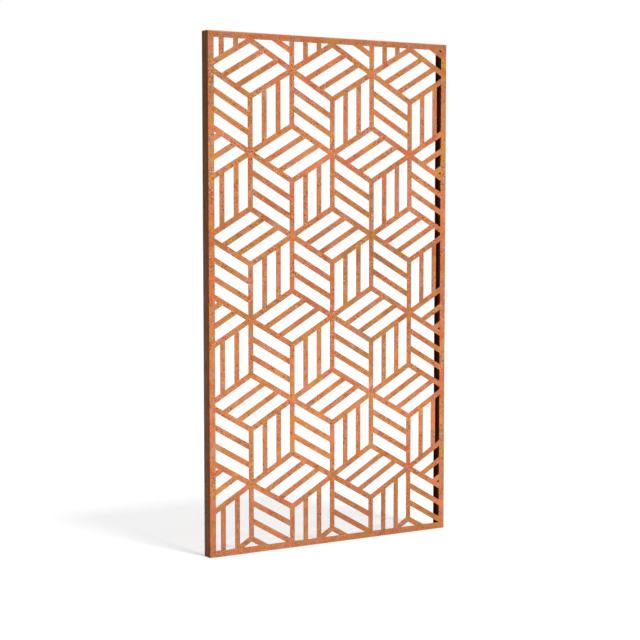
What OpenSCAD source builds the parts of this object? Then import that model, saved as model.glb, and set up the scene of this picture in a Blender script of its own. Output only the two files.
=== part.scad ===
// Laser-cut steel screen.
// A thin sheet, cut with a lattice of drawn cubes, hangs on weld studs in front of a folded
// channel at each side. The channels close with end plates, and the lower ones are the feet.
// Origin: middle of the footprint, on the floor. The front faces -Y, +Z is up, sizes in mm.

/* [Screen] */
// Width across the front
screen_w = 988; // [640:2:1400]
// Height, floor to top edge
screen_h = 1800; // [1000:10:2400]
// Depth from the front face to the back of the channels
screen_d = 46.5; // [36:0.5:80]
// Thickness of the front sheet
sheet_t = 1.5; // [1:0.5:5]
// Plain border left round the lattice
border_w = 22.5; // [20:0.5:60]

/* [Lattice] */
// Side length of a drawn cube
cube_side = 191.6; // [120:0.2:260]
// Width of the bars between the slots
bar_w = 19; // [8:0.5:26]
// Slots across one face of a cube
slots_per_face = 3; // [2:1:4]
// From the top edge down to the first row of cube centres
first_row_drop = 216.5; // [0:0.5:260]

/* [Side channels] */
// Width of a channel's front and back lips, outside to edge
lip_w = 15.5; // [15:0.5:30]
// Plate thickness of a channel
channel_t = 3; // [2:0.5:4]
// Inside radius of the folds
fold_r = 1.5; // [0.5:0.5:2.5]
// Thickness of the end plates
end_plate_t = 3; // [2:0.5:8]

/* [Stud fixings] */
// Fixings along each side
fixings = 7; // [3:1:12]
// From a screen's end to the nearest fixing
fixing_end = 60; // [30:5:120]
// Diameter of a weld stud
stud_d = 5; // [4:0.5:6]
// How far a stud's tip stands out of its nut
stud_tip = 3.3; // [0:0.1:12]
// Diameter of the weld flange at a stud's foot
stud_flange_d = 6.5; // [6:0.1:8]
// Thickness of that flange
stud_flange_t = 0.9; // [0.6:0.1:1.5]
// Outside diameter of a washer
washer_d = 10; // [9:0.5:12]
// Thickness of a washer
washer_t = 1; // [0.8:0.1:2]
// Nut size across its flats
nut_af = 8; // [7.5:0.5:10]
// Height of a nut
nut_h = 4.7; // [3:0.1:6]

/* [Mounting holes] */
// Holes in each back lip, for bolting the screen to a post or a rail
mount_holes = 2; // [2:1:8]
// Diameter of a mounting hole
mount_hole_d = 6.5; // [5:0.5:9]
// From a screen's end to the nearest mounting hole
mount_hole_end = 95; // [80:5:300]

/* [Clearances] */
// How far an end plate's snipped corners stay clear of the folds
snip_gap = 1; // [0.5:0.5:3]
// Gap all round a stud's flange in its hole
flange_gap = 0.25; // [0.1:0.05:0.6]
// Gap all round a stud in its washer
washer_gap = 0.15; // [0.1:0.05:0.4]
// Gap all round a stud in its nut
thread_gap = 0.05; // [0.02:0.01:0.2]

/* [Hidden] */

rust_front = "#CB7E50";
rust_side = "#61412E";
rust_fixing = "#4A3526";

// Where the layers lie, from front to back
back_y = screen_d / 2;
sheet_back_y = sheet_t - screen_d / 2;
washer_y = sheet_back_y + channel_t;
nut_y = washer_y + washer_t;
stud_len = channel_t + washer_t + nut_h + stud_tip;
side_x = screen_w / 2;
channel_depth = screen_d - sheet_t;

// The lips' holes share the middle of the flat part of a lip
lip_flat_start = channel_t + fold_r;
hole_inset = (lip_flat_start + lip_w) / 2;

// The lattice: a drawn cube is a hexagon on its point, with three faces round its centre
cube_half_w = cube_side * cos(30);
rise = [cube_half_w, cube_side / 2];
fall = [-cube_half_w, cube_side / 2];
drop = [0, -cube_side];
column_pitch = 2 * cube_half_w;
row_pitch = 1.5 * cube_side;
rows = ceil(screen_h / row_pitch) + 1;
columns = ceil(side_x / column_pitch) + 1;
// Half a bar, as a share of a face's width
half_bar = bar_w / 2 / cube_half_w;

$fn = 48;

// n places spread evenly along a side, from `end` above the floor to `end` below the top
function spread(n, end) = [for (i = [0 : n - 1]) end + i * (screen_h - 2 * end) / (n - 1)];

// The slots of one face: long edges along `long`, side by side along `across`
module face_slots(centre, long, across) {
    for (i = [0 : slots_per_face - 1]) {
        near = i / slots_per_face + half_bar;
        far = (i + 1) / slots_per_face - half_bar;
        corners = [[half_bar, near], [1 - half_bar, near], [1 - half_bar, far], [half_bar, far]];
        polygon([for (c = corners) centre + c[0] * long + c[1] * across]);
    }
}

module cube_slots(centre) {
    face_slots(centre, rise, fall);
    face_slots(centre, drop, rise);
    face_slots(centre, fall, drop);
}

// Every slot of the lattice, cut off square where it meets the border
module lattice_slots() {
    intersection() {
        translate([border_w - side_x, border_w])
            square([screen_w - 2 * border_w, screen_h - 2 * border_w]);
        for (row = [-1 : rows], column = [-columns : columns])
            cube_slots([
                (column + abs(row % 2) / 2) * column_pitch,
                screen_h - first_row_drop - row * row_pitch
            ]);
    }
}

module laser_cut_sheet() {
    color(rust_front)
    translate([0, sheet_back_y, 0])
    rotate([90, 0, 0])
    linear_extrude(sheet_t)
    difference() {
        translate([-side_x, 0]) square([screen_w, screen_h]);
        lattice_slots();
    }
}

// Outline from x = 0 to w, whose two corners at x = 0 are rounded
module folded_outline(w, d, r) {
    translate([r, 0]) square([w - r, d]);
    translate([0, r]) square([2 * r, d - 2 * r]);
    for (y = [r, d - r]) translate([r, y]) circle(r);
}

// Section of a channel: web on the outside, lips in front and behind
module channel_section() {
    difference() {
        folded_outline(lip_w, channel_depth, fold_r + channel_t);
        translate([channel_t, channel_t])
            folded_outline(lip_w, channel_depth - 2 * channel_t, fold_r);
    }
}

// Puts a section's corner on the left edge of the screen, behind the sheet
module at_left_edge(z = 0) {
    translate([-side_x, sheet_back_y, z]) children();
}

// Repeats a round thing n times up the left side, from depth y backwards
module up_left_side(n, end, y) {
    for (z = spread(n, end)) translate([hole_inset - side_x, y, z]) rotate([-90, 0, 0]) children();
}

module left_channel() {
    cut = 3 * channel_t;
    color(rust_side)
    difference() {
        at_left_edge() linear_extrude(screen_h) channel_section();
        up_left_side(fixings, fixing_end, sheet_back_y - channel_t)
            cylinder(d = stud_flange_d + 2 * flange_gap, h = cut);
        up_left_side(mount_holes, mount_hole_end, back_y - 2 * channel_t)
            cylinder(d = mount_hole_d, h = cut);
    }
}

// A plate that closes the channel, with its corners snipped clear of the folds
module left_end_plate(z) {
    snip = fold_r + snip_gap;
    reach = lip_w - channel_t;
    room = channel_depth - 2 * channel_t;
    color(rust_side)
    at_left_edge(z)
    translate([channel_t, channel_t, 0])
    linear_extrude(end_plate_t)
    polygon([[snip, 0], [reach, 0], [reach, room], [snip, room], [0, room - snip], [0, snip]]);
}

module left_foot_plate() {
    left_end_plate(0);
}

module left_top_plate() {
    left_end_plate(screen_h - end_plate_t);
}

module left_weld_studs() {
    color(rust_fixing)
    up_left_side(fixings, fixing_end, sheet_back_y) {
        cylinder(d = stud_d, h = stud_len);
        cylinder(d = stud_flange_d, h = stud_flange_t);
    }
}

module left_washers() {
    color(rust_fixing)
    up_left_side(fixings, fixing_end, washer_y)
        linear_extrude(washer_t)
        difference() {
            circle(d = washer_d);
            circle(d = stud_d + 2 * washer_gap);
        }
}

module left_nuts() {
    color(rust_fixing)
    up_left_side(fixings, fixing_end, nut_y)
        linear_extrude(nut_h)
        difference() {
            circle(d = nut_af / cos(30), $fn = 6);
            circle(d = stud_d + 2 * thread_gap);
        }
}

// The right side is the left one, mirrored
module right_channel() { mirror([1, 0, 0]) left_channel(); }
module right_foot_plate() { mirror([1, 0, 0]) left_foot_plate(); }
module right_top_plate() { mirror([1, 0, 0]) left_top_plate(); }
module right_weld_studs() { mirror([1, 0, 0]) left_weld_studs(); }
module right_washers() { mirror([1, 0, 0]) left_washers(); }
module right_nuts() { mirror([1, 0, 0]) left_nuts(); }

laser_cut_sheet();
left_channel();
right_channel();
left_foot_plate();
right_foot_plate();
left_top_plate();
right_top_plate();
left_weld_studs();
right_weld_studs();
left_washers();
right_washers();
left_nuts();
right_nuts();
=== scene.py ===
# %% [markdown]
# # A laser-cut steel screen, dressed in Blender
#
# The screen is a thin steel sheet, cut with a lattice of drawn cubes, that weld studs hold in front
# of a folded channel at each side. Outdoors it has rusted to a warm orange, and the channels to a
# dark brown, which is partly their own rust and partly painted shade. The construction already
# exists as a imported model. This lesson loads it as a fixed frame, remakes the pieces whose edges,
# threads and chamfers the eye looks for, and gives every surface its rust.
#
# The imported model is loaded first, because every size below is read from it where it can be.

# %% Load the frame
import math
import bmesh
import bpy
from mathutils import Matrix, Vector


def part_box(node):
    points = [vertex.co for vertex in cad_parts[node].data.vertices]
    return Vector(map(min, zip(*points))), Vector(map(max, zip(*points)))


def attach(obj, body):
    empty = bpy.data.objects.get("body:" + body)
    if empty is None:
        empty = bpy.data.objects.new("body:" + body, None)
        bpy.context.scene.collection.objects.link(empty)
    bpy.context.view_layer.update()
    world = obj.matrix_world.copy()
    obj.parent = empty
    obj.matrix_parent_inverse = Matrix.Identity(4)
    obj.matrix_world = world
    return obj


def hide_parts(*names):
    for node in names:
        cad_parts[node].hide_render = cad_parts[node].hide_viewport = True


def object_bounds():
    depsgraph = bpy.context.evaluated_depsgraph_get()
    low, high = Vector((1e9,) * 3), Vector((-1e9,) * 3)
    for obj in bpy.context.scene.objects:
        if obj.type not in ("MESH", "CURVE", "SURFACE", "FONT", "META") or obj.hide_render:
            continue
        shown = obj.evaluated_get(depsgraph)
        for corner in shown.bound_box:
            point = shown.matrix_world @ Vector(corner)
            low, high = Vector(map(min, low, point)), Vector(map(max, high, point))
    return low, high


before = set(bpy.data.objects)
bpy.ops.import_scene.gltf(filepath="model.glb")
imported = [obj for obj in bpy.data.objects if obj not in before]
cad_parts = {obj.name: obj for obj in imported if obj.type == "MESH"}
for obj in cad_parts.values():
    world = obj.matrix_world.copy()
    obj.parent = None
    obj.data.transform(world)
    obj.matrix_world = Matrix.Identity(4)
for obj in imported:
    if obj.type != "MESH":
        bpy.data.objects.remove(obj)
cad_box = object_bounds()
MM = 0.001
BODY = "root"
print("nodes:", ", ".join(sorted(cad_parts)))

# %% [markdown]
# ## The camera
#
# A camera could be placed by eye, but a lattice of perfectly regular cubes is a ruler. Its corners
# fix the lens, the place and both angles at once. A camera that dips a little matches all of them,
# so no lens shift is wanted. Places are in metres and angles in degrees.

# %% Place the camera
LENS = 89.1
SENSOR_WIDTH = 36
CAMERA_PLACE = (-2.980, -4.805, 1.227)
CAMERA_TURN = 31.483
CAMERA_DIP = 4.303


def new_object(name, data):
    """An object at the origin, in the scene."""
    made = bpy.data.objects.new(name, data)
    bpy.context.scene.collection.objects.link(made)
    return made


def place_camera():
    """A long lens, to the left of the screen and a little over its middle."""
    long_lens = bpy.data.cameras.new("photo_view")
    long_lens.lens = LENS
    long_lens.sensor_width = SENSOR_WIDTH
    camera = new_object("photo_view", long_lens)
    camera.location = CAMERA_PLACE
    camera.rotation_euler = (math.radians(90 - CAMERA_DIP), 0, -math.radians(CAMERA_TURN))
    bpy.context.scene.camera = camera


place_camera()
print("camera at", CAMERA_PLACE, "with a", LENS, "mm lens")

# %% [markdown]
# ## Writing node trees as formulas
#
# Geometry trees and shader trees are both made of nodes and links. Placing each by hand in code is
# long and hard to read, so a few helpers do it. `node` adds one node and fills its inputs, and
# `Field` lets a socket be added, multiplied and compared like a plain number. A formula in the
# cells below then reads as it would on paper, and still becomes real nodes.

# %% One node, and numbers that vary


def node(tree, kind, inputs=None, **properties):
    """Adds a node. Inputs go by name or by place, and each is a number, a colour or a link."""
    made = tree.nodes.new(kind)
    for name, value in properties.items():
        setattr(made, name, value)
    for name, value in (inputs or {}).items():
        value = value.socket if isinstance(value, Field) else value
        if isinstance(value, bpy.types.NodeSocket):
            tree.links.new(value, made.inputs[name])
        else:
            made.inputs[name].default_value = value
    return made


class Field:
    """A number that varies over a shape, which plain arithmetic turns into Math nodes."""

    def __init__(self, socket):
        self.tree = socket.id_data
        self.socket = socket

    def __add__(self, other):
        return joined("ADD", self, other)

    def __radd__(self, other):
        return joined("ADD", other, self)

    def __sub__(self, other):
        return joined("SUBTRACT", self, other)

    def __rsub__(self, other):
        return joined("SUBTRACT", other, self)

    def __mul__(self, other):
        return joined("MULTIPLY", self, other)

    def __rmul__(self, other):
        return joined("MULTIPLY", other, self)

    def __truediv__(self, other):
        return joined("DIVIDE", self, other)

    def __rtruediv__(self, other):
        return joined("DIVIDE", other, self)

    def __mod__(self, other):
        return joined("MODULO", self, other)

    def ramp(self, low, high):
        """0 below low, 1 above high, and a soft step between. It falls where low is the larger."""
        places = {"Value": self, "From Min": low, "From Max": high}
        made = node(self.tree, "ShaderNodeMapRange", places, interpolation_type="SMOOTHSTEP")
        return Field(made.outputs[0])


def joined(operation, *values):
    """One Math node. At least one of its values is a Field, whose tree it joins."""
    tree = next(value.tree for value in values if isinstance(value, Field))
    made = node(tree, "ShaderNodeMath", dict(enumerate(values)), operation=operation)
    return Field(made.outputs[0])


print("node and Field ready")

# %% Places and colours


def vector(tree, x, y, z):
    """Three numbers as one place or direction."""
    return node(tree, "ShaderNodeCombineXYZ", {0: x, 1: y, 2: z}).outputs[0]


def split(tree, place):
    """The three numbers of a place, a direction or a colour."""
    return [Field(s) for s in node(tree, "ShaderNodeSeparateXYZ", {0: place}).outputs]


def moved(tree, place, offset):
    """The same place seen from elsewhere, so that two noises don't match."""
    shift = (offset, 2 * offset, 3 * offset)
    return node(tree, "ShaderNodeVectorMath", {0: place, 1: shift}).outputs[0]


def linear(code):
    """A colour such as "#CB7E50", as it is seen on a screen, in the light values that shaders use."""
    seen = [int(code[i : i + 2], 16) / 255 for i in (1, 3, 5)]
    # The curve of a screen's colours has a straight foot and goes on as a power
    return (*[c / 12.92 if c <= 0.04045 else ((c + 0.055) / 1.055) ** 2.4 for c in seen], 1)


def blended(tree, share, below, above):
    """Two colours, mixed by a mask."""
    # The Mix node has its colours at the inputs 6 and 7, and their mix at the output 2
    made = node(tree, "ShaderNodeMix", {"Factor": share, 6: below, 7: above}, data_type="RGBA")
    return made.outputs[2]


def shaded(tree, colour, strength):
    """A colour, made lighter or darker."""
    values = {0: colour, "Scale": strength}
    return node(tree, "ShaderNodeVectorMath", values, operation="SCALE").outputs[0]


print("a mid grey of #808080 is", round(linear("#808080")[0], 3), "in light values")

# %% [markdown]
# ## Rust, in four reusable effects
#
# Rust on weathering steel is not one colour. Seen from a few metres it has hand-sized patches of
# ochre, salmon and brown on an orange ground. In places the skin has bloomed: there the mottling is
# much finer, and dark and pale flecks stand close together. From a hand's width away all of it is a
# powdery grain, which is coarser in the blooms. An image could hold this, but it would blur close up
# and show seams at the cut edges, so each scale is a node group on the solid's own coordinates.
# Every finish below places the same four groups with its own values.

# %% An empty effect, and a noise


def effect_group(name, inputs, outputs):
    """An empty shader group, and its inputs and its exit, to be filled."""
    tree = bpy.data.node_groups.new(name, "ShaderNodeTree")
    for direction, sockets in (("INPUT", inputs), ("OUTPUT", outputs)):
        for label, kind in sockets.items():
            tree.interface.new_socket(label, in_out=direction, socket_type="NodeSocket" + kind)
    entry = tree.nodes.new("NodeGroupInput").outputs
    return tree, entry, tree.nodes.new("NodeGroupOutput").inputs


def noise(tree, place, size, detail, roughness, distortion=0.0):
    """Cloudy noise from 0 to 1, whose blobs are about as large as size, in metres."""
    values = {"Vector": place, "Scale": 1 / size, "Detail": detail, "Roughness": roughness}
    values["Distortion"] = distortion
    return Field(node(tree, "ShaderNodeTexNoise", values).outputs[0])


print("effects can be built")

# %% [markdown]
# ### Patches
#
# Rust spreads from where water stood longest, so a patch has a ragged edge at every scale. A spotted
# pattern would give round blobs. A noise with much detail, cut off between two close levels, gives
# ragged ones, and each of the four rusts gets a noise of its own.

# %% Patches of other rusts
RUSTS = ("Ground", "Ochre", "Tan", "Red", "Brown")
PATCH_DETAIL = 5
BROWN_COVER = 0.8


def make_patches_group():
    """Patches of four other rusts on a ground colour, and broad clouds of light and dark."""
    inputs = {"Vector": "Vector", "Patch Size": "Float", "Strength": "Float", "Cloudiness": "Float"}
    inputs.update({label: "Color" for label in RUSTS})
    tree, given, result = effect_group("rust_patches", inputs, {"Color": "Color"})
    place = given["Vector"]
    size = Field(given["Patch Size"])

    def patches(offset, share, roughness=0.62, distortion=0.4, start=0.50, full=0.64):
        """Where a noise rises past start. Its blobs are a share of the patch size."""
        elsewhere = moved(tree, place, offset)
        spread = noise(tree, elsewhere, size * share, PATCH_DETAIL, roughness, distortion)
        return spread.ramp(start, full) * Field(given["Strength"])

    ochre = patches(offset=0.0, share=1.0)
    tan = patches(offset=9.4, share=0.8)
    red = patches(offset=3.1, share=0.9)
    brown = patches(offset=7.7, share=0.6, roughness=0.65, distortion=0.0, start=0.52, full=0.68)
    colour = given["Ground"]
    for label, mask in (("Ochre", ochre), ("Tan", tan), ("Red", red), ("Brown", brown * BROWN_COVER)):
        colour = blended(tree, mask, colour, given[label])
    clouds = noise(tree, moved(tree, place, 4.9), size * 2, detail=3, roughness=0.6) - 0.5
    cloudy = shaded(tree, colour, 1 + clouds * Field(given["Cloudiness"]))
    tree.links.new(cloudy, result["Color"])
    return tree


PATCHES = make_patches_group()
print("effect:", PATCHES.name)

# %% [markdown]
# ### Blooms
#
# Where the skin has bloomed, all the fine marks are stronger at once. A mask of its own says where
# that is, so that the mottling, the flecks and the powder agree on it.

# %% A mask of the blooms
BLOOM_START = 0.44
BLOOM_FULL = 0.60


def make_blooms_group():
    """Ragged areas where the skin has bloomed."""
    inputs = {"Vector": "Vector", "Size": "Float"}
    tree, given, result = effect_group("rust_blooms", inputs, {"Mask": "Float"})
    place = moved(tree, given["Vector"], 5.3)
    spread = noise(tree, place, Field(given["Size"]), detail=4, roughness=0.6, distortion=0.3)
    tree.links.new(spread.ramp(BLOOM_START, BLOOM_FULL).socket, result["Mask"])
    return tree


BLOOMS = make_blooms_group()
print("effect:", BLOOMS.name)

# %% [markdown]
# ### Flecks
#
# Scale that came off, and salts that dried, leave small spots. Spots could be thresholds of a noise
# too, but then their number and their size can't be set apart. A cell pattern has one point in each
# cell, and with it a random colour, which serves as the dice for that cell.

# %% Flecks, one to a cell
# How far a fleck's edge strays and how large its teeth are, as shares of the spacing
RAGGEDNESS = 0.7
TOOTH_SIZE = 0.3

# The full part of a fleck, as a share of its radius
FLECK_CORE = 0.6
CALM_SHARE = 0.12
CHANCE_STEP = 0.08


def make_flecks_group():
    """Ragged flecks. Where there is no bloom, only the calm share of them is left."""
    sizes = {"Vector": "Vector", "Spacing": "Float", "Radius": "Float", "Amount": "Float"}
    sizes["Bloom"] = "Float"
    tree, given, result = effect_group("rust_flecks", sizes, {"Mask": "Float"})
    place = given["Vector"]
    spacing = Field(given["Spacing"])
    ragged = noise(tree, place, spacing * TOOTH_SIZE, detail=4, roughness=0.6) - 0.5
    cells = node(tree, "ShaderNodeTexVoronoi", {"Vector": place, "Scale": 1 / spacing})
    distance = (Field(cells.outputs["Distance"]) + ragged * RAGGEDNESS) * spacing
    # The first random number says if a cell has a fleck. The second says how large it is, from half
    # the radius to one and a half times it
    chance, largeness, _ = split(tree, cells.outputs["Color"])
    radius = Field(given["Radius"]) * (0.5 + largeness)
    spot = distance.ramp(radius, radius * FLECK_CORE)
    share = Field(given["Amount"]) * (CALM_SHARE + (1 - CALM_SHARE) * Field(given["Bloom"]))
    tree.links.new((spot * (share - chance).ramp(0, CHANCE_STEP)).socket, result["Mask"])
    return tree


FLECKS = make_flecks_group()
print("effect:", FLECKS.name)

# %% [markdown]
# ### Powder
#
# The grain of the skin shows twice: as light and dark, and as relief. So this group puts out plain
# numbers, and each finish decides what to do with them.

# %% Powder, fine and coarse
TIMES_COARSER = 4


def make_grain_group():
    """The powder of the skin, fine and coarse, each as a number that strays about nought."""
    sizes = {"Vector": "Vector", "Grain Size": "Float"}
    tree, given, result = effect_group("rust_grain", sizes, {"Fine": "Float", "Coarse": "Float"})
    size = Field(given["Grain Size"])
    elsewhere = moved(tree, given["Vector"], 1.9)
    fine = noise(tree, given["Vector"], size, detail=4, roughness=0.7) - 0.5
    coarse = noise(tree, elsewhere, size * TIMES_COARSER, detail=4, roughness=0.65) - 0.5
    tree.links.new(fine.socket, result["Fine"])
    tree.links.new(coarse.socket, result["Coarse"])
    return tree


GRAIN = make_grain_group()
print("effect:", GRAIN.name)

# %% [markdown]
# ## One recipe for every finish
#
# A finish could be painted for each piece, but all of this steel rusted in the same air, so one
# recipe with other numbers serves them all. Patches lie over each other at three sizes, and the
# smallest keep to the blooms. The powder strays lighter and darker, and the flecks come in a large
# and a small size, dark ones and pale ones. The powder and the flecks also give the surface its
# relief. All of it is matt, because rust scatters light.

# %% Flecks and patches in a material
# The large flecks' spacing and radius where spot is 1, and both sizes as shares of the large one
FLECK_SPACING = 9 * MM
FLECK_RADIUS = 3 * MM
FLECK_SHARES = (1, 0.38)

# Each layer's size in patches, strength outside the blooms, what a bloom adds to it, and cloudiness
PATCH_LAYERS = ((5, 0.45, 0, 2.2), (1, 0.6, 0.4, 0.5), (0.25, 0, 0.85, 0.4))


def placed(tree, group, values):
    """One of the effect groups, placed in a material with its own values."""
    return node(tree, "ShaderNodeGroup", values, node_tree=group).outputs


def flecks(tree, place, spot, amount, bloom):
    """Large flecks and small ones, in one mask. Spot makes both of them larger or smaller."""
    masks = []
    for share in FLECK_SHARES:
        scale = spot * share
        values = {"Vector": place, "Spacing": FLECK_SPACING * scale, "Radius": FLECK_RADIUS * scale}
        values.update({"Amount": amount, "Bloom": bloom})
        masks.append(Field(placed(tree, FLECKS, values)["Mask"]))
    return joined("MAXIMUM", *masks)


def patched(tree, place, tints, patch, clouds, bloom):
    """Patches at three sizes, where each layer is the ground of the next."""
    values = {label: tints[label] for label in RUSTS}
    for share, calm, bloomed, cloudiness in PATCH_LAYERS:
        values.update({"Vector": place, "Patch Size": patch * share, "Strength": calm + bloomed * bloom})
        values["Cloudiness"] = clouds * cloudiness
        values["Ground"] = placed(tree, PATCHES, values)["Color"]
    return values["Ground"]


print("layers of patches:", len(PATCH_LAYERS))

# %% Numbers of the rust recipe
# The size of a bloom, in patches
BLOOM_SHARE = 1.5
GRAIN_SIZE = 1.3 * MM
DARK_COVER = 0.95
PALE_COVER = 0.8

# What the powder does to the shade: fine, coarse, and what a bloom adds to the coarse
FINE_SHADE = 1.5
COARSE_SHADE = 0.3
BLOOM_SHADE = 2

# The skin's middle level, and how far each thing rises above it or sinks below it
SKIN_LEVEL = 0.5
FINE_RISE = 0.55
COARSE_RISE = 0.45
PALE_RISE = 0.2
DARK_SINK = 0.35

# How much rougher a dark fleck is, and how far below the middle a bare hollow is fully bare
DARK_ROUGHER = 0.04
BARE_DEPTH = 0.2
BUMP_STRENGTH = 0.8
SHINE = 0.25
print("a grain of powder:", round(GRAIN_SIZE / MM, 1), "mm")

# %% The rust recipe


def rusted(
    name, codes, marks=None, patch=50 * MM, clouds=0.8, dark=0.5, pale=0.3, spot=1.0, powder=0.75,
    metal=0.0, rough=(0.75, 0.95), relief=0.6 * MM,
):
    """A rusted surface. Marks is a function that adds what only this surface has, and patch the size
    of its patches. Clouds and powder say how far its shade strays, dark and pale how many flecks it
    has, and spot how large they are.
    Metal is how bare the hollows of its skin are, rough its least and greatest roughness, and relief
    the depth of its skin."""
    material = bpy.data.materials.new(name)
    material.use_nodes = True
    tree = material.node_tree
    shader = tree.nodes["Principled BSDF"]
    place = node(tree, "ShaderNodeTexCoord").outputs["Object"]
    tints = {label: linear(code) for label, code in codes.items()}
    bloom = Field(placed(tree, BLOOMS, {"Vector": place, "Size": patch * BLOOM_SHARE})["Mask"])
    colour = patched(tree, place, tints, patch, clouds, bloom)

    # The fine powder lies everywhere, and most of the coarse powder in the blooms
    grain = placed(tree, GRAIN, {"Vector": place, "Grain Size": GRAIN_SIZE})
    fine, coarse = Field(grain["Fine"]), Field(grain["Coarse"])
    shade = (fine * FINE_SHADE + coarse * (COARSE_SHADE + BLOOM_SHADE * bloom)) * powder
    colour = blended(tree, joined("MAXIMUM", shade, 0.0), colour, tints["Pale"])
    colour = blended(tree, joined("MAXIMUM", shade * -1, 0.0), colour, tints["Dark"])
    dark_mask = flecks(tree, place, spot, dark, bloom)
    colour = blended(tree, dark_mask * DARK_COVER, colour, tints["Dark"])
    pale_mask = flecks(tree, moved(tree, place, 2.3), spot, pale, bloom)
    colour = blended(tree, pale_mask * PALE_COVER, colour, tints["Pale"])
    if marks:
        colour = marks(tree, place, colour, tints)
    tree.links.new(colour, shader.inputs["Base Color"])

    # Dark flecks are hollows where scale came off, and pale ones stand out
    height = SKIN_LEVEL + fine * FINE_RISE + coarse * COARSE_RISE
    roughness = rough[0] + height * (rough[1] - rough[0]) + dark_mask * DARK_ROUGHER
    tree.links.new(roughness.socket, shader.inputs["Roughness"])
    skin = height - dark_mask * DARK_SINK + pale_mask * PALE_RISE
    values = {"Strength": BUMP_STRENGTH, "Distance": relief, "Height": skin}
    tree.links.new(node(tree, "ShaderNodeBump", values).outputs[0], shader.inputs["Normal"])
    shader.inputs["Specular IOR Level"].default_value = SHINE
    if metal:
        bare = (SKIN_LEVEL - height).ramp(0, BARE_DEPTH) * metal
        tree.links.new(bare.socket, shader.inputs["Metallic"])
    return material


print("recipe ready")

# %% [markdown]
# ## The sheet's finish
#
# The front sheet is the bright one. Over the common recipe it has marks in fixed places: a foot
# that is darker towards the bottom, a darker band under the top, and a pale line along the very top,
# which is a painted highlight. Its cut edges are grooved across the plate, as the beam left them,
# and darker, which is painted shade. These could be four more materials, but masks on the object's
# own coordinates follow the shape with no seams.

# %% Rust the sheet
# How far in from a face the finish of a cut edge starts, and how far in it is full
CUT_START = 0.05 * MM
CUT_FULL = 0.2 * MM
# How strongly the cut edges take their darker colour, which is painted shade
CUT_SHADE_COVER = 0.85
GROOVE_WIDTH = 0.6 * MM
GROOVE_STRETCH = 0.03


def band(level, wander, sway, start, full, cover):
    """A mask with one soft, wandering edge: nothing at the level of start, and cover from full on."""
    return (level + wander * sway).ramp(start, full) * cover


def sheet_marks(tree, place, colour, tints):
    """Darker foot and top band, a painted highlight along the top, and grooved cut edges with painted
    shade.
    """
    low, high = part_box("laser_cut_sheet")
    _, y, z = split(tree, place)
    wander = noise(tree, place, 60 * MM, detail=4, roughness=0.6) - 0.5
    # The foot is darker towards the bottom
    darker_foot = band(z, wander, sway=250 * MM, start=500 * MM, full=0.0, cover=0.36)
    colour = blended(tree, darker_foot, colour, tints["Darkened"])
    # A darker band under the top
    top_band_start, top_band_full = high.z - 60 * MM, high.z - 12 * MM
    darker_top_band = band(z, wander, sway=20 * MM, start=top_band_start, full=top_band_full, cover=0.35)
    colour = blended(tree, darker_top_band, colour, tints["Darkened"])
    # The pale line along the very top is a painted highlight
    highlight_start, highlight_full = high.z - 3.5 * MM, high.z - 1.5 * MM
    rim = band(z, wander, sway=3 * MM, start=highlight_start, full=highlight_full, cover=0.85)
    colour = blended(tree, rim, colour, tints["Pale"])

    # The cut edges get a darker colour, which is painted shade, with grooves across the plate
    behind_face = y.ramp(low.y + CUT_START, low.y + CUT_FULL)
    before_back = y.ramp(high.y - CUT_START, high.y - CUT_FULL)
    stretch = node(tree, "ShaderNodeMapping", {"Vector": place, "Scale": (1, GROOVE_STRETCH, 1)})
    lines = noise(tree, stretch.outputs[0], GROOVE_WIDTH, detail=2, roughness=0.6)
    grooves = lines.ramp(0.42, 0.58)
    cut = blended(tree, grooves, tints["Cut"], tints["Groove"])
    return blended(tree, behind_face * before_back * CUT_SHADE_COVER, colour, cut)


SHEET_RUST = rusted(
    "rusted_sheet",
    dict(
        Ground="#D07E48",
        Ochre="#C69528",
        Tan="#C88C76",
        Red="#E46946",
        Brown="#A85E24",
        Dark="#883C00",
        Pale="#F4AC7E",
        Darkened="#9F5F3F",
        # The cut edges' colour is darkened as painted shade
        Cut="#8A5230",
        Groove="#6A381C",
    ),
    sheet_marks,
    clouds=1.0,
    dark=1.0,
    pale=0.55,
    powder=1.45,
)
print("finish:", SHEET_RUST.name)

# %% [markdown]
# ## The channels' finish
#
# The channels are darker and browner than the sheet, partly as their own rust and partly as painted
# shade. Water has run down them, so one noise is drawn out along the height. Their front edge is
# redder, their upper end is darkened with painted shade, and inside they are darker still, with dark
# mill scale and painted shade. The same mask does for both channels, because it measures how far a
# point lies from the middle of the screen.

# %% Rust the channels
RUN_WIDTH = 9 * MM
RUN_STRETCH = 0.06
RUN_COVER = 0.4
SCALE_START = 1 * MM
SCALE_STEP = 0.5 * MM
# How strongly the inside takes its dark colour, which is mill scale and painted shade
MILL_SCALE_AND_SHADE_COVER = 0.95


def within(level, face, inwards):
    """0 near a face of the channel, and 1 a step further in. Inwards is 1 or -1."""
    start = face + inwards * SCALE_START
    return level.ramp(start, start + inwards * SCALE_STEP)


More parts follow.
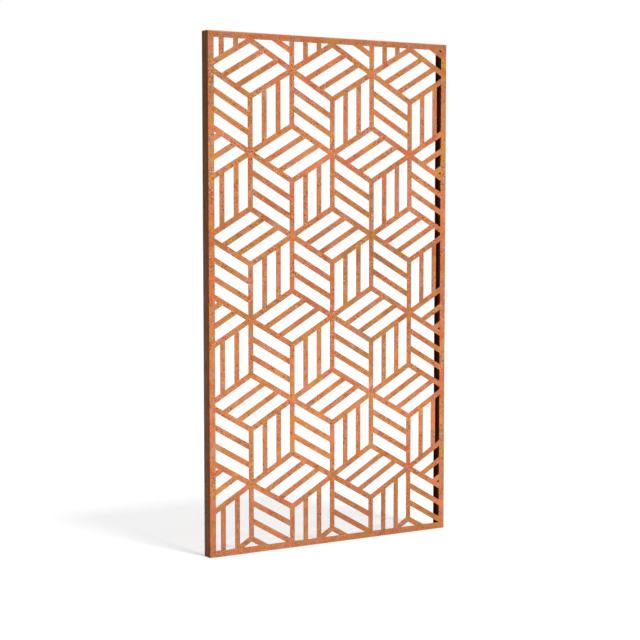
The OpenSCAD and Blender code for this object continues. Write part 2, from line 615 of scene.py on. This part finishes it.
def channel_marks(tree, place, colour, tints):
    """Water runs, a redder front edge, painted shade on the upper end, and mill scale and painted shade
    inside.
    """
    low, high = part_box("left_channel")
    x, y, z = split(tree, place)
    stretch = node(tree, "ShaderNodeMapping", {"Vector": place, "Scale": (1, 1, RUN_STRETCH)})
    runs = noise(tree, stretch.outputs[0], RUN_WIDTH, detail=3, roughness=0.6)
    colour = blended(tree, runs.ramp(0.45, 0.75) * RUN_COVER, colour, tints["Dark"])
    wander = noise(tree, place, 80 * MM, detail=4, roughness=0.6) - 0.5
    front = band(y, wander, sway=20 * MM, start=high.y - 10 * MM, full=low.y, cover=0.65)
    colour = blended(tree, front, colour, tints["Warm"])
    # The upper end is darkened with painted shade
    shade_start, shade_full = high.z - 1000 * MM, high.z - 100 * MM
    painted_upper_shade = band(z, wander, sway=300 * MM, start=shade_start, full=shade_full, cover=0.6)
    colour = blended(tree, painted_upper_shade, colour, tints["Shade"])
    # Inside the channel it is darker: dark mill scale and painted shade
    inside = within(joined("ABSOLUTE", x), -low.x, -1) * within(y, high.y, -1)
    inside = inside * within(z, high.z, -1) * within(z, low.z, 1)
    return blended(tree, inside * MILL_SCALE_AND_SHADE_COVER, colour, tints["Scale"])


# The channels' darker, browner ground is partly their own rust and partly painted shade
CHANNEL_RUST_AND_SHADE = rusted(
    "dark_rusted_channel",
    dict(
        Ground="#7C5439",
        Ochre="#786448",
        Tan="#7E6658",
        Red="#854A38",
        Brown="#684530",
        Dark="#452A1B",
        Pale="#9E765A",
        Warm="#904600",
        # Painted shade for the upper end
        Shade="#5A2F00",
        # Dark mill scale and painted shade for the inside
        Scale="#481C02",
    ),
    channel_marks,
    dark=0.45,
    pale=0.15,
)
print("finish:", CHANNEL_RUST_AND_SHADE.name)

# %% [markdown]
# ## The fixings' and the welds' finishes
#
# The studs, washers and nuts were plated, so a little dull metal still shows between the rust, and
# the weld seams are smoother and darker than the plate that they join. Both are small, so their
# patches, flecks and relief shrink with them.

# %% Rust the fixings and the welds
FIXING_RUST = rusted(
    "weathered_fixings",
    dict(
        Ground="#7A6656",
        Ochre="#8A6A42",
        Tan="#82786C",
        Red="#7B4A30",
        Brown="#57402F",
        Dark="#38241A",
        Pale="#A39B90",
    ),
    patch=6 * MM,
    spot=0.4,
    metal=0.7,
    rough=(0.4, 0.75),
    relief=0.08 * MM,
)
WELD_RUST = rusted(
    "weathered_welds",
    dict(
        Ground="#6E4A36",
        Ochre="#7A5E3C",
        Tan="#76604E",
        Red="#7B432C",
        Brown="#523626",
        Dark="#38241A",
        Pale="#96735A",
    ),
    patch=12 * MM,
    spot=0.5,
    rough=(0.55, 0.85),
    relief=0.1 * MM,
)
print("finishes:", FIXING_RUST.name, "and", WELD_RUST.name)

# %% [markdown]
# ## From a node tree to a plain piece
#
# A modifier keeps a shape live, but a finished piece has to be an ordinary mesh: the export drops
# instances, and a live modifier could change later. So each tree ends by making its copies real,
# the result is copied out as a mesh, and the modifiers are removed.

# %% Geometry trees with named sizes


def size_tree(name, sizes, others=None):
    """An empty geometry tree with named inputs, which come back as fields and sockets."""
    tree = bpy.data.node_groups.new(name, "GeometryNodeTree")
    kinds = {label: "Float" for label in sizes}
    kinds.update(others or {})
    for label, kind in kinds.items():
        tree.interface.new_socket(label, in_out="INPUT", socket_type="NodeSocket" + kind)
    tree.interface.new_socket("Geometry", in_out="OUTPUT", socket_type="NodeSocketGeometry")
    entry = tree.nodes.new("NodeGroupInput").outputs
    return tree, {label: Field(entry[label]) for label in sizes}, entry


def copies(tree, count, place, part, turn=(0, 0, 0)):
    """Copies of a part. A formula of the index gives each one its own place and turn."""
    points = node(tree, "GeometryNodePoints", {"Count": count, "Position": place}).outputs[0]
    values = {"Points": points, "Instance": part, "Rotation": turn}
    return node(tree, "GeometryNodeInstanceOnPoints", values).outputs[0]


def end_tree(tree, geometry, material):
    """Makes the copies real, gives them their finish and sends them out."""
    real = node(tree, "GeometryNodeRealizeInstances", {"Geometry": geometry}).outputs[0]
    dressed = node(tree, "GeometryNodeSetMaterial", {"Geometry": real, "Material": material}).outputs[0]
    tree.links.new(dressed, tree.nodes.new("NodeGroupOutput").inputs[0])


print("geometry trees can be built")

# %% Pieces and plain meshes
BEVEL_ABOVE = 40


def grown(name, tree, values):
    """An object whose shape a geometry tree makes from these values."""
    piece = new_object(name, bpy.data.meshes.new(name))
    modifier = piece.modifiers.new(tree.name, "NODES")
    modifier.node_group = tree
    for item in tree.interface.items_tree:
        if item.in_out == "INPUT":
            modifier[item.identifier] = values[item.name]
    return piece


def soften(piece, width):
    """A small round on every sharp edge, as cutting, folding and rust leave it."""
    bevel = piece.modifiers.new("soft edges", "BEVEL")
    bevel.width = width
    bevel.segments = 2
    bevel.limit_method = "ANGLE"
    bevel.angle_limit = math.radians(BEVEL_ABOVE)


def settle(piece, smooth=35):
    """Turns a piece and its modifiers into a plain mesh, smooth across edges under that angle."""
    bpy.context.view_layer.update()
    seen = piece.evaluated_get(bpy.context.evaluated_depsgraph_get())
    mesh = bpy.data.meshes.new_from_object(seen)
    piece.modifiers.clear()
    piece.data = mesh
    mesh.name = piece.name
    mesh.shade_smooth()
    mesh.set_sharp_from_angle(angle=math.radians(smooth))


def triangles(piece):
    """How many triangles a piece has."""
    piece.data.calc_loop_triangles()
    return len(piece.data.loop_triangles)


print("pieces can be grown, softened and settled")

# %% [markdown]
# ## The lattice sheet
#
# The front is one sheet, and its pattern is one slot. A drawn cube is a hexagon on its point, its
# three faces are the same rhombus turned by a third of a circle, and each rhombus has three equal
# slots. So the tree makes a single slot and repeats it: three times across a face, three faces round
# a centre, and the cubes in rows like bricks. The border then crops whatever reaches past it, which
# is how the real pattern was laid out too, and leaves the small cut-off corners at the edges.
#
# Drawing 189 slots by hand or repeating them with array modifiers would also work, but neither keeps
# the bar width, the cube side and the border as separate sizes that can be changed.

# %% Sizes of the lattice
CUBE_SIDE = 191.6 * MM
BAR_WIDTH = 19 * MM
BORDER = 22.5 * MM
FACES = 3
SLOTS_PER_FACE = 3
FIRST_ROW_DROP = 216.5 * MM
CUT_EDGE_ROUND = 0.2 * MM

# A row of cubes lies one and a half cube sides under the one before
ROW_PITCH = 1.5
ROWS_ABOVE = 2

# How far the cutting shapes reach through the plate, in plate thicknesses
SLOT_REACH = 3
WINDOW_REACH = 5
print("bars of", round(BAR_WIDTH / MM, 1), "mm in cubes of", round(CUBE_SIDE / MM, 1), "mm")

# %% Grow the slots


def leaned_slot(tree, size, half_width):
    """One slot: a unit block, leaned over to lie along two sides of the rhombus."""
    half_bar = size["Bar Width"] / 2 / half_width
    block = node(tree, "GeometryNodeMeshCube", {"Size": (1, 1, 1)}).outputs[0]
    x, y, z = split(tree, node(tree, "GeometryNodeInputPosition").outputs[0])
    along = half_bar + (x + 0.5) * (1 - 2 * half_bar)
    across = half_bar + (z + 0.5) * (1 / size["Slots per Face"] - 2 * half_bar)
    sideways = half_width * (along - across)
    upwards = size["Cube Side"] / 2 * (along + across)
    leaned = vector(tree, sideways, y * size["Thickness"] * SLOT_REACH, upwards)
    return node(tree, "GeometryNodeSetPosition", {"Geometry": block, "Position": leaned}).outputs[0]


def lattice_slots(tree, size, middle):
    """The slots of a face, the faces of a cube and the cubes of the lattice, as real blocks."""
    # The index counts slots, faces or cubes, depending on whose copies it places
    side = size["Cube Side"]
    half_width = side * math.cos(math.radians(30))
    index = Field(node(tree, "GeometryNodeInputIndex").outputs[0])
    slots = size["Slots per Face"]
    step = index / slots
    shift = vector(tree, half_width * step * -1, 0, side / 2 * step)
    face = copies(tree, slots, shift, leaned_slot(tree, size, half_width))
    turn = vector(tree, 0, index * math.radians(360 / FACES), 0)
    cube = copies(tree, FACES, (0, 0, 0), face, turn)
    row = joined("FLOOR", index / size["Columns"])
    column = index - row * size["Columns"] - (size["Columns"] - 1) / 2
    drop = size["First Row Drop"] + (row - ROWS_ABOVE) * ROW_PITCH * side
    centre = vector(tree, (column + row % 2 / 2) * 2 * half_width, middle, size["Height"] - drop)
    lattice = copies(tree, size["Rows"] * size["Columns"], centre, cube)
    return node(tree, "GeometryNodeRealizeInstances", {"Geometry": lattice}).outputs[0]


print("slots can be grown")

# %% Cut the sheet


def slab(tree, width, depth, height, centre):
    """A block round a centre."""
    made = node(tree, "GeometryNodeMeshCube", {"Size": vector(tree, width, depth, height)})
    values = {"Geometry": made.outputs[0], "Translation": centre}
    return node(tree, "GeometryNodeTransform", values).outputs[0]


def make_lattice_tree():
    """A plate, less the slots that lie in the window inside its border."""
    sizes = ["Width", "Height", "Thickness", "Front", "Border", "Cube Side", "Bar Width"]
    sizes += ["Slots per Face", "First Row Drop", "Rows", "Columns"]
    tree, size, _ = size_tree("cube_lattice", sizes)
    width, height, thickness = size["Width"], size["Height"], size["Thickness"]
    middle = size["Front"] + thickness / 2
    centre = vector(tree, 0, middle, height / 2)
    plate = slab(tree, width, thickness, height, centre)
    edges = 2 * size["Border"]
    window = slab(tree, width - edges, thickness * WINDOW_REACH, height - edges, centre)
    cropped = node(tree, "GeometryNodeMeshBoolean", operation="INTERSECT", solver="MANIFOLD")
    tree.links.new(lattice_slots(tree, size, middle), cropped.inputs[1])
    tree.links.new(window, cropped.inputs[1])
    shapes = {0: plate, 1: cropped.outputs[0]}
    cut = node(tree, "GeometryNodeMeshBoolean", shapes, operation="DIFFERENCE", solver="MANIFOLD")
    # Its large faces have hundreds of corners, which renderers split badly, so they are split here
    flat = node(tree, "GeometryNodeTriangulate", {0: cut.outputs[0]}, ngon_method="BEAUTY")
    end_tree(tree, flat.outputs[0], SHEET_RUST)
    return tree


def make_sheet():
    """The sheet, in the box that it has in the frame, with cubes to spare on every side."""
    low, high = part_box("laser_cut_sheet")
    column_pitch = 2 * CUBE_SIDE * math.cos(math.radians(30))
    columns_aside = math.ceil((high.x - low.x) / 2 / column_pitch) + 1
    rows_below = math.ceil((high.z - low.z) / (CUBE_SIDE * ROW_PITCH)) + 1
    values = {
        "Width": high.x - low.x,
        "Height": high.z - low.z,
        "Thickness": high.y - low.y,
        "Front": low.y,
        "Border": BORDER,
        "Cube Side": CUBE_SIDE,
        "Bar Width": BAR_WIDTH,
        "Slots per Face": float(SLOTS_PER_FACE),
        "First Row Drop": FIRST_ROW_DROP,
        "Rows": float(ROWS_ABOVE + rows_below),
        "Columns": float(2 * columns_aside + 1),
    }
    piece = grown("lattice_sheet", make_lattice_tree(), values)
    soften(piece, CUT_EDGE_ROUND)
    settle(piece, 20)
    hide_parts("laser_cut_sheet")
    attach(piece, BODY)
    return piece


print("lattice sheet:", triangles(make_sheet()), "triangles")

# %% [markdown]
# ## The folded channels and their end plates
#
# These shapes are already right in the frame: two folds with true radii, a row of holes in each lip
# and a plate in each end. What they lack is the small round that every cut edge has, which is what
# catches light and makes steel look like steel. So each one is copied, its loose triangles are
# merged back into flat faces, and its edges are softened.

# %% Soften the channels and the end plates
PLATE_EDGE_ROUND = 0.35 * MM
SAME_POINT = 0.001 * MM
SAME_PLANE = 1


def softened(part):
    """A copy of one node of the frame, with soft edges."""
    shape = bmesh.new()
    shape.from_mesh(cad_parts[part].data)
    bmesh.ops.remove_doubles(shape, verts=shape.verts, dist=SAME_POINT)
    flat = math.radians(SAME_PLANE)
    bmesh.ops.dissolve_limit(shape, angle_limit=flat, verts=shape.verts, edges=shape.edges)
    piece = new_object("soft_" + part, bpy.data.meshes.new("soft_" + part))
    shape.to_mesh(piece.data)
    shape.free()
    piece.data.materials.append(CHANNEL_RUST_AND_SHADE)
    soften(piece, PLATE_EDGE_ROUND)
    settle(piece)
    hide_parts(part)
    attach(piece, BODY)
    return piece


for kind in ("channel", "foot_plate", "top_plate"):
    for side in ("left", "right"):
        made = softened(side + "_" + kind)
        print(made.name + ":", triangles(made), "triangles")

# %% [markdown]
# ## One stud, one washer and one nut
#
# A stud, a washer and a nut are all turned parts: a ring of points that changes its radius as it
# moves along the axis. A lathe that takes the radius as a formula of the angle can do more than
# round things. Let the radius follow a hexagon and the end face fall away beyond a circle, and it
# turns a nut with its curved chamfers. Let the radius climb with the angle, and it cuts a thread.
# Sizes here are in millimetres, as a workshop has them, and the lathe turns them into metres.

# %% A lathe


def turned(name, rings, around, closed=False):
    """An object of rings of points round +Y. Each ring is a formula that makes an angle into a radius
    and a place. Closed joins the last ring to the first, and otherwise both ends get a face."""
    shape = bmesh.new()
    loops = []
    for ring in rings:
        loop = []
        for i in range(around):
            angle = 2 * math.pi * i / around
            radius, place = ring(angle)
            point = (radius * math.cos(angle), place, radius * math.sin(angle))
            loop.append(shape.verts.new([value * MM for value in point]))
        loops.append(loop)
    following = loops[1:] + loops[:1] if closed else loops[1:]
    for lower, upper in zip(loops, following):
        for i in range(around):
            j = (i + 1) % around
            shape.faces.new((lower[i], upper[i], upper[j], lower[j]))
    if not closed:
        shape.faces.new(loops[0])
        shape.faces.new(loops[-1][::-1])
    bmesh.ops.recalc_face_normals(shape, faces=shape.faces)
    mesh = bpy.data.meshes.new(name)
    shape.to_mesh(mesh)
    shape.free()
    return new_object(name, mesh)


def plain_ring(radius, place):
    """A round ring, the same at every angle."""
    return lambda angle: (radius, place)


print("lathe ready")

# %% Turn a stud
# The rim is a share of the flange's thickness. The depth of the thread is a share of its pitch, and
# its root and its start lie that far above the flange.
STUD = {"diameter": 5.0, "flange": 6.5, "flange_thickness": 0.9, "rim": 0.7, "round": 0.3}
THREAD = {"pitch": 0.8, "depth": 0.61, "root": 0.01, "start": 0.05, "rings_per_turn": 6, "around": 16}


def make_stud(length):
    """A stud with its weld flange at 0, a rolled thread, and a chamfer at its tip."""
    pitch = THREAD["pitch"]
    crest = STUD["diameter"] / 2
    depth = THREAD["depth"] * pitch
    flange = STUD["flange"] / 2
    neck = STUD["flange_thickness"]
    start = neck + THREAD["start"]
    steps = round((length - neck) / pitch * THREAD["rings_per_turn"])

    def thread_ring(place):
        def ring(angle):
            turn = (place / pitch - angle / (2 * math.pi)) % 1
            fade = min(1, (length - place) / pitch)
            return crest - depth * (abs(2 * turn - 1) * fade + (1 - fade)), place

        return ring

    rings = [plain_ring(flange, 0), plain_ring(flange, neck * STUD["rim"])]
    rings += [plain_ring(flange - STUD["round"], neck)]
    rings += [plain_ring(crest - depth, neck + THREAD["root"])]
    threaded = length - neck - THREAD["start"]
    rings += [thread_ring(start + threaded * i / steps) for i in range(steps + 1)]
    return turned("one_stud", rings, THREAD["around"])


def depth_in_mm(kind):
    """How far back a kind of fixing reaches in the frame."""
    low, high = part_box("left_" + kind)
    return (high.y - low.y) / MM


stud = make_stud(depth_in_mm("weld_studs"))
print("stud:", triangles(stud), "triangles")

# %% Turn a washer and a nut
# The end face of a nut is a share of its flats, and the slope is that of its chamfers, in degrees
WASHER = {"outside": 10.0, "bore": 5.3, "rim": 0.25, "around": 32}
NUT = {"flats": 8.0, "bore": 5.1, "countersink": 0.4, "face": 0.96, "slope": 30, "around": 48}


def make_washer(thickness):
    """A flat washer with rounded rims."""
    outer, inner, rim = WASHER["outside"] / 2, WASHER["bore"] / 2, WASHER["rim"]
    corners = [(inner, rim), (inner + rim, 0), (outer - rim, 0), (outer, rim)]
    corners += [(r, thickness - y) for r, y in reversed(corners)]
    return turned("one_washer", [plain_ring(r, y) for r, y in corners], WASHER["around"], closed=True)


def make_nut(height):
    """A hexagon nut whose six corners are chamfered by a cone at both ends."""
    flat, bore, sink = NUT["flats"] / 2, NUT["bore"] / 2, NUT["countersink"]
    slope = math.tan(math.radians(NUT["slope"]))
    face = flat * NUT["face"]

    def hexagon(angle):
        return flat / math.cos(angle % math.radians(60) - math.radians(30))

    def wall(from_top):
        def ring(angle):
            fall = (hexagon(angle) - face) * slope
            return hexagon(angle), height - fall if from_top else fall

        return ring

    rings = [plain_ring(bore, sink), plain_ring(bore + sink, 0), plain_ring(face, 0), wall(False)]
    rings += [wall(True), plain_ring(face, height), plain_ring(bore + sink, height)]
    rings += [plain_ring(bore, height - sink)]
    return turned("one_nut", rings, NUT["around"], closed=True)


washer = make_washer(depth_in_mm("washers"))
nut = make_nut(depth_in_mm("nuts"))
print("washer:", triangles(washer), "triangles, nut:", triangles(nut), "triangles")

# %% [markdown]
# ## The rows of fixings
#
# Seven fixings hold each side, and all fourteen are alike, so one geometry tree repeats any part up
# both sides. Studs need no turning, but nobody stops a nut at the same angle twice: the tree can turn
# each copy by its own random amount, from a fixed seed.

# %% Repeat the fixings up both sides
FIXINGS = 7
SCREEN_HEIGHT = cad_box[1].z


def make_row_tree():
    """Copies of a part up both sides: the even ones on the left, the odd ones on the right."""
    sizes = ["Count", "End", "Height", "Side", "Depth", "Turn"]
    tree, size, entry = size_tree("row_of_fixings", sizes, {"Part": "Object", "Seed": "Int"})
    index = Field(node(tree, "GeometryNodeInputIndex").outputs[0])
    level = joined("FLOOR", index / 2)
    pitch = (size["Height"] - 2 * size["End"]) / (size["Count"] - 1)
    side = (index % 2 * 2 - 1) * size["Side"]
    place = vector(tree, side, size["Depth"], size["End"] + level * pitch)
    # The node keeps its least and its greatest plain number at the inputs 2 and 3
    values = {2: 0.0, 3: size["Turn"], "ID": index, "Seed": entry["Seed"]}
    spin = node(tree, "FunctionNodeRandomValue", values, data_type="FLOAT").outputs[1]
    part = node(tree, "GeometryNodeObjectInfo", {"Object": entry["Part"]}).outputs["Geometry"]
    row = copies(tree, 2 * size["Count"], place, part, vector(tree, 0, spin, 0))
    end_tree(tree, row, FIXING_RUST)
    return tree


def make_row(tree, part, name, kind, turn, seed):
    """All fourteen copies of a part, where the frame has them."""
    nodes = ["left_" + kind, "right_" + kind]
    low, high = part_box("left_weld_studs")
    flange = (high.x - low.x) / 2
    values = {
        "Part": part,
        "Count": float(FIXINGS),
        "End": low.z + flange,
        "Height": SCREEN_HEIGHT,
        "Side": -(low.x + flange),
        "Depth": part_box(nodes[0])[0].y,
        "Turn": turn,
        "Seed": seed,
    }
    piece = grown(name, tree, values)
    settle(piece)
    bpy.data.objects.remove(part)
    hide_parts(*nodes)
    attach(piece, BODY)
    print(name + ":", triangles(piece), "triangles")


row_tree = make_row_tree()
make_row(row_tree, stud, "studs", "weld_studs", turn=0.0, seed=1)
make_row(row_tree, washer, "plain_washers", "washers", turn=0.0, seed=2)
make_row(row_tree, nut, "hexagon_nuts", "nuts", turn=math.radians(60), seed=3)

# %% [markdown]
# ## The weld seams
#
# Each end plate is welded to the channel along the three edges that touch it, and the seam lies in
# the corner on the inner side, where nobody grinds it off. A weld is a bead that was laid drop by
# drop, so it is a round rod whose radius swells once for each drop. The tree resamples a path, lets
# the radius follow the length with a wave, and sweeps a circle along it.

# %% Lay the weld seams
SEAM_RADIUS = 1.7 * MM
SEAM_SINK = 0.35 * MM
SEAM_CORNER = 2.2 * MM
SEAM_END = 1.2 * MM
SEAM_SWELL = 0.22
SEAM_AROUND = 10
DROP_LENGTH = 1.5 * MM
RINGS_PER_DROP = 6


def seam_points(plate, upwards):
    """Round the corners of one end plate, from lip edge to lip edge."""
    low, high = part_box(plate)
    inner_side = 1 if low.x < 0 else -1
    web, edge = (low.x, high.x) if low.x < 0 else (high.x, low.x)
    level = high.z + SEAM_SINK if upwards else low.z - SEAM_SINK
    start = edge - inner_side * SEAM_END
    turn = web + inner_side * SEAM_CORNER
    beside_web = web + inner_side * SEAM_SINK
    front, back = low.y + SEAM_SINK, high.y - SEAM_SINK
    flat = [(start, front), (turn, front), (beside_web, low.y + SEAM_CORNER)]
    flat += [(beside_web, high.y - SEAM_CORNER), (turn, back), (start, back)]
    return [(x, y, level) for x, y in flat]


def make_seam_tree():
    """A rod along a path, whose radius falls off after the start of each drop."""
    sizes = ["Radius", "Drop Length", "Swell"]
    tree, size, entry = size_tree("weld_seam", sizes, {"Path": "Object"})
    path = node(tree, "GeometryNodeObjectInfo", {"Object": entry["Path"]}).outputs["Geometry"]
    values = {"Curve": path, "Length": size["Drop Length"] / RINGS_PER_DROP}
    fine = node(tree, "GeometryNodeResampleCurve", values, mode="LENGTH").outputs[0]
    length = Field(node(tree, "GeometryNodeSplineParameter").outputs["Length"])
    phase = (length / size["Drop Length"]) % 1
    swell = 1 - size["Swell"] * phase * phase
    rod = node(tree, "GeometryNodeSetCurveRadius", {"Curve": fine, "Radius": swell}).outputs[0]
    values = {"Resolution": SEAM_AROUND, "Radius": size["Radius"]}
    circle = node(tree, "GeometryNodeCurvePrimitiveCircle", values).outputs[0]
    radius = node(tree, "GeometryNodeInputRadius").outputs[0]
    values = {"Curve": rod, "Profile Curve": circle, "Scale": radius, "Fill Caps": True}
    end_tree(tree, node(tree, "GeometryNodeCurveToMesh", values).outputs[0], WELD_RUST)
    return tree


def make_seams():
    """One piece of four seams, one at each end of both channels."""
    curve = bpy.data.curves.new("seam_paths", "CURVE")
    curve.dimensions = "3D"
    for side in ("left", "right"):
        for plate, upwards in (("foot", True), ("top", False)):
            points = seam_points(f"{side}_{plate}_plate", upwards)
            spline = curve.splines.new("POLY")
            spline.points.add(len(points) - 1)
            for point, place in zip(spline.points, points):
                point.co = (*place, 1)
    path = new_object("seam_paths", curve)
    values = {"Radius": SEAM_RADIUS, "Drop Length": DROP_LENGTH, "Swell": SEAM_SWELL, "Path": path}
    piece = grown("weld_seams", make_seam_tree(), values)
    settle(piece, 60)
    bpy.data.objects.remove(path)
    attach(piece, BODY)
    return piece


print("weld seams:", triangles(make_seams()), "triangles")

# %% [markdown]
# ## The floor, the light and the background
#
# The screen was pictured on plain white, in soft light from the front, a little to the right and
# above, with only a faint shadow behind it. A floor that is lit until it burns out would also bleach
# the rust. So the floor has two faces. Where the camera, a reflection or glass looks at it, it is a
# pale grey, mixed with a white glow that keeps the shadow faint. Light that bounces off it meets a
# darker grey and no glow. The world does the same: it is white where it is seen, and dimmer where it
# only lights. A weak, wide sun from behind shows the hidden side when the screen is turned round.

# %% Lay the floor
FLOOR_GLOW = 0.42
FLOOR_SEEN = "#DFDFDF"
FLOOR_BOUNCE = "#A8A8AA"
FLOOR_HALF = 30.0
WHITE = (1, 1, 1, 1)


def seen_directly(tree):
    """1 where the camera, a reflection or glass looks at a surface, and 0 for bounced light."""
    path = node(tree, "ShaderNodeLightPath").outputs
    share = Field(path["Is Camera Ray"]) + Field(path["Is Glossy Ray"])
    share = share + Field(path["Is Transmission Ray"])
    return joined("MINIMUM", share, 1.0)


def make_floor():
    """A matt square that is paler to look at than to the light that it throws back."""
    material = bpy.data.materials.new("pale_floor")
    material.use_nodes = True
    tree = material.node_tree
    shader = tree.nodes["Principled BSDF"]
    shader.inputs["Roughness"].default_value = 1.0
    shader.inputs["Specular IOR Level"].default_value = 0.0
    seen = seen_directly(tree)
    colour = blended(tree, seen, linear(FLOOR_BOUNCE), linear(FLOOR_SEEN))
    tree.links.new(colour, shader.inputs["Base Color"])
    glow = node(tree, "ShaderNodeEmission", {"Color": WHITE, "Strength": 1.0})
    values = {0: seen * FLOOR_GLOW, 1: shader.outputs[0], 2: glow.outputs[0]}
    mixed = node(tree, "ShaderNodeMixShader", values)
    tree.links.new(mixed.outputs[0], tree.nodes["Material Output"].inputs["Surface"])
    mesh = bpy.data.meshes.new("floor")
    corners = [(x * FLOOR_HALF, y * FLOOR_HALF, 0) for x, y in ((-1, -1), (1, -1), (1, 1), (-1, 1))]
    mesh.from_pydata(corners, [], [(0, 1, 2, 3)])
    mesh.materials.append(material)
    new_object("floor", mesh)


make_floor()
print("floor laid")

# %% Light the stage
KEY_SUN = {"strength": 3.35, "softness": 11, "height": 60, "turn": 12}
BACK_FILL = {"strength": 0.9, "softness": 60, "height": 40, "turn": 150}
SURROUND = 0.42


def make_world():
    """A white surround where it is seen, and a dimmer one where it only lights."""
    world = bpy.data.worlds.new("soft_surround")
    world.use_nodes = True
    tree = world.node_tree
    background = tree.nodes["Background"]
    background.inputs["Color"].default_value = WHITE
    strength = SURROUND + seen_directly(tree) * (1 - SURROUND)
    tree.links.new(strength.socket, background.inputs["Strength"])
    bpy.context.scene.world = world


def make_sun(name, strength, softness, height, turn):
    """A lamp whose light comes from that height, turned from the front towards the right."""
    lamp = bpy.data.lights.new(name, "SUN")
    lamp.energy = strength
    lamp.angle = math.radians(softness)
    sun = new_object(name, lamp)
    sun.rotation_euler = (math.radians(90 - height), 0, math.radians(turn))


make_world()
make_sun("key", **KEY_SUN)
make_sun("back_fill", **BACK_FILL)
bpy.context.scene.view_settings.view_transform = "Standard"
print("stage lit")
